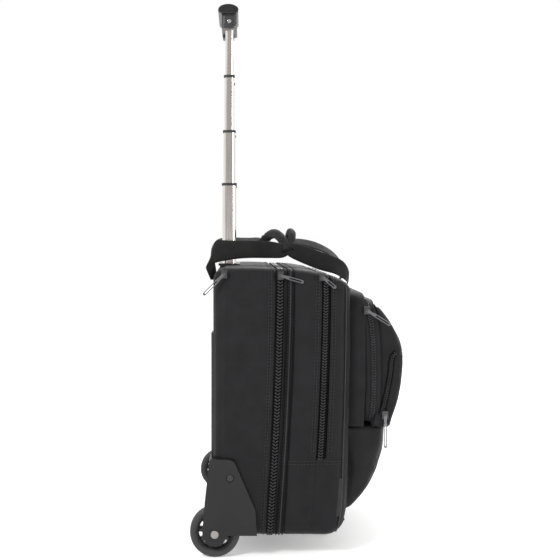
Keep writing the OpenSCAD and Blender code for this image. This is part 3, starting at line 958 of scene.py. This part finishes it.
for side, sign in (("left", -1), ("right", 1)):
    wheel = "wheel_" + side
    y = sign * WHEEL_Y
    spun(
        wheel + "_tyre",
        ((0.0092, 0.0262), (0.0098, 0.03), (0.0106, 0.0335), (0.0098, 0.036), (0.0075, 0.0374),
         (0.004, 0.038)),
        tyre_rubber, wheel, y, ["tyre_" + side], 96,
    )
    spun(
        wheel + "_rim", ((0.003, 0.0244), (0.0088, 0.0252), (0.0092, 0.0268)), hub_grey, wheel,
        y,
    )
    spun(
        wheel + "_hub", ((0.0088, 0.0058), (0.0088, 0.0118), (0.0078, 0.013)), hub_grey, wheel,
        y, ["hub_" + side], 48,
    )
    spokes = bmesh.new()
    hub_middle = Vector((AXLE.x, y, AXLE.z))
    for k in range(SPOKES):
        turn = math.radians(360 / SPOKES * k + 12)
        reach = Vector((math.cos(turn), 0, math.sin(turn)))
        add_bar(spokes, hub_middle + reach * 0.0122, hub_middle + reach * 0.0256, 0.0068, 0.011)
    piece(wheel + "_spokes", spokes, hub_grey, wheel, merge=0)
    coat(bright, "bearings_" + side)

strip_plastic = Finish("strip_plastic", (0.02, 0.02, 0.022), 0.3)
strip_plastic.gloss(0.24, 0.2, 30.0)
rounded("rear_guards", strip_plastic, "case_body", 0.0009)
rounded("front_feet", matt_black, "front_section", 0.0016)
coat(matt_black, "base_tray")

# ---- Carry handles ----
# Two handles of 35 mm webbing, one sewn to the back and one to the front, that meet over the top.
# Where the hand holds them the webbing is folded over a cord and stitched into a round grip.
strap_cloth = cloth_finish(
    "strap_webbing", (0.0056, 0.0055, 0.0055), (0.0155, 0.0152, 0.0152), 0.0016, 0.66, 0.0004
)


def smooth_line(marks, steps):
    """Even steps along the smooth line through marks, which may hold more than a place."""
    marks = [Vector(mark) for mark in marks]
    last = len(marks) - 1
    line = []
    for k in range(last):
        p0, p1, p2, p3 = (marks[max(0, min(last, k + j))] for j in (-1, 0, 1, 2))
        for step in range(steps):
            t = step / steps
            line.append(0.5 * (
                2 * p1 + (p2 - p0) * t + (2 * p0 - 5 * p1 + 4 * p2 - p3) * t * t
                + (3 * p1 - p0 - 3 * p2 + p3) * t * t * t
            ))
    return line + [marks[-1]]


def add_ribbon(bm, marks, steps=8):
    """Flat webbing along marks of place, width and the direction of its width."""
    rows = []
    for mark in smooth_line(marks, steps):
        across = Vector(mark[4:]).normalized()
        rows.append([Vector(mark[:3]) + across * (mark[3] * u) for u in (-0.5, -0.17, 0.17, 0.5)])
    add_strip(bm, rows)


def strap(name, marks, body, replaces=()):
    bm = bmesh.new()
    add_ribbon(bm, marks)
    thicken(piece(name, bm, strap_cloth, body, replaces, merge=0), 0.0022, 1, 0.0)


def add_grip(name, points, radius, body):
    """Webbing rolled round a cord: a round grip with its lay running round it."""
    line = smooth_line(points, 10)
    made = add_cord(name, line, radius, strap_cloth, body, corners=5)
    bm = bmesh.new()
    bm.from_mesh(made.data)
    bmesh.ops.remove_doubles(bm, verts=bm.verts, dist=1e-6)
    bm.normal_update()
    for vert in bm.verts:
        lay = math.sin((vert.co.x * 0.7 + vert.co.y + vert.co.z * 0.9) * 900)
        vert.co += vert.normal * 0.0006 * lay
    bm.to_mesh(made.data)
    bm.free()


strap(
    "rear_strap_near",
    ((-0.1315, -0.07, 0.414, 0.034, 0.25, 1, 0), (-0.1345, -0.07, 0.428, 0.034, 0.45, 1, 0.1),
     (-0.1375, -0.069, 0.446, 0.036, 0.35, 0.75, 0.6), (-0.13, -0.066, 0.4595, 0.04, 0.1, 0.2, 1),
     (-0.105, -0.0645, 0.4625, 0.033, 0, 0, 1), (-0.075, -0.064, 0.464, 0.03, 0, 0, 1),
     (-0.04, -0.0635, 0.4635, 0.029, 0, 0, 1), (-0.018, -0.0625, 0.4615, 0.024, 0, 0.1, 1),
     (-0.006, -0.06, 0.462, 0.014, 0, 0.4, 1)),
    "rear_carry_handle", ["rear_handle"],
)
strap(
    "rear_strap_far",
    ((-0.1345, 0.07, 0.416, 0.034, 0, 1, 0), (-0.1385, 0.07, 0.435, 0.034, 0, 1, 0),
     (-0.139, 0.069, 0.46, 0.034, 0, 1, 0.3), (-0.13, 0.067, 0.4745, 0.03, 0.2, 1, 0.5),
     (-0.105, 0.0645, 0.478, 0.028, 0, 0.9, 0.45), (-0.075, 0.064, 0.4785, 0.028, 0, 0.9, 0.35),
     (-0.055, 0.062, 0.4795, 0.022, 0, 0.9, 0.4), (-0.046, 0.058, 0.479, 0.012, 0, 1, 0.3)),
    "rear_carry_handle",
)
add_grip(
    "rear_grip",
    ((-0.01, -0.064, 0.4605), (-0.012, -0.055, 0.47), (-0.019, -0.036, 0.483), (-0.027, -0.008, 0.49),
     (-0.034, 0.022, 0.489), (-0.041, 0.046, 0.483), (-0.047, 0.062, 0.477)),
    0.0078, "rear_carry_handle",
)
strap(
    "front_strap_near",
    ((0.087, -0.066, 0.4015, 0.03, 0.1, 1, 0), (0.0905, -0.066, 0.412, 0.028, 0.2, 1, 0.1),
     (0.086, -0.0655, 0.4245, 0.025, 0.5, 0.6, 0.6), (0.074, -0.065, 0.435, 0.027, 0.42, 0.12, 0.9),
     (0.048, -0.0645, 0.444, 0.03, 0.33, 0, 0.94), (0.02, -0.064, 0.4545, 0.029, 0.3, 0, 0.95),
     (-0.002, -0.0635, 0.4625, 0.025, 0.2, 0.1, 1), (-0.014, -0.061, 0.466, 0.016, 0.1, 0.4, 1)),
    "front_carry_handle", ["front_handle"],
)
strap(
    "front_strap_far",
    ((0.087, 0.066, 0.4015, 0.03, 0, 1, 0), (0.095, 0.066, 0.418, 0.03, 0, 1, 0),
     (0.093, 0.0655, 0.437, 0.028, 0.1, 1, 0.2), (0.075, 0.065, 0.456, 0.027, 0.2, 1, 0.35),
     (0.048, 0.0645, 0.469, 0.027, 0.15, 0.9, 0.5), (0.022, 0.064, 0.4755, 0.026, 0, 0.9, 0.5),
     (0.004, 0.062, 0.477, 0.02, 0, 0.9, 0.4), (-0.003, 0.056, 0.4775, 0.012, 0, 1, 0.3)),
    "front_carry_handle",
)
add_grip(
    "front_grip",
    ((-0.006, -0.064, 0.464), (-0.003, -0.055, 0.472), (0.000, -0.034, 0.488), (-0.001, -0.006, 0.493),
     (-0.001, 0.022, 0.492), (-0.002, 0.044, 0.485), (-0.002, 0.06, 0.477)),
    0.0062, "front_carry_handle",
)

# ---- Zip sliders and pull tabs ----
# Die-cast sliders with a bridge, and long flat pull tabs with a slot and a soft finish.
cast_metal = Finish("cast_metal", (0.08, 0.08, 0.084), 0.3, Metallic=1.0)
cast_metal.gloss(0.22, 0.25, 300.0)
pull_metal = Finish("pull_metal", (0.17, 0.17, 0.178), 0.28, Metallic=1.0)
pull_metal.gloss(0.2, 0.2, 200.0)


def rod_outline(start, end, half, count=8):
    """A bar with round ends, as points round it."""
    points = []
    for middle, turn in ((end, -90), (start, 90)):
        for k in range(count + 1):
            angle = math.radians(turn + 180 * k / count)
            points.append((middle + half * math.cos(angle), half * math.sin(angle)))
    return points


def add_plate(bm, outlines, thick):
    """A flat plate with holes: the first outline is its rim and the others are cut through it."""
    rim = []
    for outline in outlines:
        verts = [bm.verts.new((u, 0, v)) for u, v in outline]
        rim += [bm.edges.new(pair) for pair in zip(verts, verts[1:] + verts[:1])]
    filled = bmesh.ops.triangle_fill(bm, use_beauty=True, use_dissolve=False, edges=rim)
    faces = [g for g in filled["geom"] if isinstance(g, bmesh.types.BMFace)]
    raised = bmesh.ops.extrude_face_region(bm, geom=faces)["geom"]
    fresh = [g for g in raised if isinstance(g, bmesh.types.BMVert)]
    bmesh.ops.translate(bm, vec=(0, -thick, 0), verts=fresh)


PULLS = (
    ("rear", 0.044, 225), ("expander", 0.036, -16), ("document", 0.026, -40),
    ("pocket", 0.042, -32), ("outer", 0.05, -90),
)
for name, length, angle in PULLS:
    rounded(name + "_slider", cast_metal, name + "_zip_slider", 0.0007)
    slider = middle_of(name + "_slider")
    tab = bmesh.new()
    neck = length * 0.3
    add_plate(tab, (rod_outline(0, neck, 0.0021), rod_outline(0, 0, 0.0013)[::-1]), 0.0009)
    add_plate(
        tab,
        (rod_outline(neck - 0.001, length - 0.0026, 0.0026),
         rod_outline(neck + 0.0035, length - 0.0042, 0.0011)[::-1]),
        0.0013,
    )
    slider.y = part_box(name + "_puller")[1][1]
    place = Matrix.Translation(slider) @ Matrix.Rotation(math.radians(-angle), 4, "Y")
    bmesh.ops.transform(tab, matrix=place, verts=tab.verts)
    made = piece(name + "_pull_tab", tab, pull_metal, name + "_zip_puller",
                 [name + "_puller"], smooth=False, merge=0)
    soften = made.modifiers.new("edges", "BEVEL")
    soften.width = 0.0003
    soften.segments = 2

# ---- Linings and the expander ----
# Grey lining cloth inside every compartment, the padded laptop sleeve, the channel that hides the
# trolley tubes, and the folded band that lets the case grow when the expansion zip is open.
lining = cloth_finish("lining_cloth", (0.03, 0.031, 0.034), (0.06, 0.061, 0.066), 0.0007, 0.75, 0.00012)


def lining_folds(at, normal):
    return normal * (0.0012 * rumple(at, 15, 5)) + leant(at) - at


LINED = HALF - 0.0075
rear_lining = box_of_cloth(
    (BACK + 0.007, -LINED, BASE + 0.006), (REAR_EDGE - 0.005, LINED, TOP - 0.007), 0.012,
    ends=(0.014, None), steps=(0.012, 0.02, 0.02),
)
cut_away(rear_lining, lambda at, facing: abs(at.y) > 0.168 and at.z < 0.158 and at.x < NOTCH_X + 0.008)
rear_lining.normal_update()
cut_exit(rear_lining, 0.02, 0.056)
panel("rear_lining", rear_lining, lining_folds, "case_body", (), lining, 0.0012)

front_lining = box_of_cloth(
    (BAND[0] + 0.012, -LINED, BASE + 0.006), (BAND[1] - 0.004, LINED, TOP - 0.01), 0.012,
    ends=(0.002, None), steps=(0.012, 0.02, 0.02),
)
panel("front_lining", front_lining, lining_folds, "front_section", (), lining, 0.0012)

sleeve_low, sleeve_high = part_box("laptop_sleeve")
sleeve = box_of_cloth(
    (sleeve_low[0], sleeve_low[1], sleeve_low[2] + 0.001), sleeve_high, 0.01, ends=(0.006, 0.006),
    steps=(0.006, 0.02, 0.016),
)
cut_away(sleeve, lambda at, facing: facing.z > 0.9 and at.z > sleeve_high[2] - 0.004)
sleeve_pad = panel(
    "sleeve", sleeve, lambda at, normal: normal * (0.0015 * rumple(at, 12, 1)) + leant(at) - at,
    "front_section", ["laptop_sleeve"], lining,
)

channel = box_of_cloth(*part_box("tube_cover"), 0.002, ends=(0.008, 0.008), steps=(0.008, 0.012, 0.02))
cut_away(channel, lambda at, facing: abs(facing.z) > 0.9)
panel(
    "tube_channel", channel, lambda at, normal: normal * (0.0011 * rumple(at, 18, 2)), "case_body",
    ["tube_cover"], lining, 0.0015,
)
coat(lining, "back_board", "divider_board")

gusset = box_of_cloth(
    (REAR_EDGE + 0.001, -HALF + 0.0085, BASE + 0.007),
    (BAND[0] - 0.001, HALF - 0.0085, TOP - 0.0085), 0.012, steps=(0.002, 0.014, 0.014),
)
expander_band = panel(
    "expander_band", gusset,
    lambda at, normal: leant(at) - at - normal * 0.002 * bulge(at.x, REAR_EDGE, BAND[0]),
    None, ["expander_gusset"], thickness=0.0008,
)
# the bend is tilted with the lean of the panels
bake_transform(expander_band)

# ---- Stitching ----
# Rows of black thread along both sides of the expansion zip and the document zip and under the
# lower seam, sewn about six stitches to the inch, and the light tape tabs that close the ends of
# the front piping.
thread = Finish("thread", (0.01, 0.01, 0.011), 0.5)
thread.gloss(0.4, 0.2, 400.0)


def surface_of(made):
    """The finished cloth surface of a piece, to lay things on."""
    return BVHTree.FromObject(made, bpy.context.evaluated_depsgraph_get())


def laid(line, surface, lift=0.0):
    """Points of a line brought onto a surface, with the way that it faces there."""
    found = []
    for at in line:
        place, normal, _, _ = surface.find_nearest(at)
        if normal.dot(at - Vector((at.x * 0.5, 0, 0.23))) < 0:
            normal = -normal
        found.append((place + normal * lift, normal))
    return found


def add_stitches(bm, line, surface):
    """Short lengths of thread, one every five millimetres, laid on a surface."""
    for place, along in walk(line, 0.005):
        (spot, normal), = laid([place], surface, 0.0002)
        along = (along - normal * along.dot(normal)).normalized()
        turn = Matrix((normal.cross(along), normal, along)).transposed().to_4x4()
        bmesh.ops.create_cone(
            bm, cap_ends=True, segments=5, radius1=0.00045, radius2=0.00045, depth=0.0029,
            matrix=Matrix.Translation(spot) @ turn,
        )


def sew(name, made, body, rings, arches=(), level=None):
    """Stitches on a piece: rings round the case, arches over the lower seam, level rows under it."""
    lines = [ring(x, HALF, BASE, TOP, EDGE) for x in rings]
    for x in arches:
        line = ring(x, HALF, BASE, TOP, EDGE)
        half = len(line) // 2
        lines += [[p for p in part if p.z > SEAM_Z] for part in (line[:half], line[half:])]
    if level:
        start, end = level
        for z in (SEAM_Z - 0.0065, SEAM_Z - 0.0105):
            for y in (-HALF, HALF):
                lines.append([leant((start + (end - start) * k / 8, y, z)) for k in range(9)])
    surface = surface_of(made)
    bm = bmesh.new()
    for line in lines:
        add_stitches(bm, line, surface)
    return piece(name, bm, thread, body, merge=0)


sew("rear_stitches", rear_section, "case_body", (REAR_EDGE - 0.0066, REAR_EDGE - 0.0105))
sew(
    "band_stitches", front_band, "front_section", (BAND[0] + 0.0052,),
    (BAND[1] - 0.0052, BAND[1] - 0.0092), (BAND[0] + 0.012, BAND[1]),
)
box_stitches = sew(
    "box_stitches", front_box, None, (), (ZIP2_EDGE + 0.0048, ZIP2_EDGE + 0.0088), (BAND[1], 0.07)
)
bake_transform(box_stitches)

tab_cloth = cloth_finish("tab_tape", (0.016, 0.016, 0.017), (0.03, 0.03, 0.032), 0.0009, 0.5)
box_surface = surface_of(front_box)
for sign, side in ((-1, "left"), (1, "right")):
    spine = [Vector((0.0655 - 0.0052 * k / 8, sign * HALF, 0.121 - 0.058 * k / 8)) for k in range(9)]
    tab = bmesh.new()
    add_ribbon(tab, [(*spot, 0.0075, 1, 0, 0) for spot, normal in laid(spine, box_surface, 0.0008)], 2)
    made = piece("tab_" + side, tab, tab_cloth, "front_section", merge=0)
    thicken(made, 0.001, 1, 0.0)

# ---- Floor ----
# Plain white paper, rolled out under the case and lit a little from below, with the pale walls
# that the bright parts reflect. Neither belongs to the case.
ground = bmesh.new()
bmesh.ops.create_grid(ground, x_segments=1, y_segments=1, size=12)
floor = bpy.data.objects.new("floor", bpy.data.meshes.new("floor"))
ground.to_mesh(floor.data)
bpy.context.collection.objects.link(floor)
paper = Finish("paper", (0.95, 0.95, 0.95), 0.9, Emission_Color=(1, 1, 1, 1), Emission_Strength=0.3)
paper.mottle(2.0, 0.0, (0.93, 0.93, 0.93), 1.0, (0.96, 0.96, 0.96))
floor.data.materials.append(paper.material)

world = bpy.data.worlds.new("studio")
bpy.context.scene.world = world
world.use_nodes = True
walls = world.node_tree.nodes
direction, split, shade = (
    walls.new("ShaderNode" + kind) for kind in ("TexCoord", "SeparateXYZ", "ValToRGB")
)
lift = walls.new("ShaderNodeMath")
lift.operation = "ADD"
lift.inputs[1].default_value = 1.0
darker, brighter = shade.color_ramp.elements
darker.position = 0.3
darker.color = (0.47, 0.44, 0.415, 1)
brighter.position = 0.62
brighter.color = (1, 1, 1, 1)
for start, end in (
    (direction.outputs["Generated"], split.inputs[0]), (split.outputs["Y"], lift.inputs[0]),
    (lift.outputs[0], shade.inputs[0]), (shade.outputs[0], walls["Background"].inputs["Color"]),
):
    world.node_tree.links.new(start, end)
walls["Background"].inputs["Strength"].default_value = 1.0
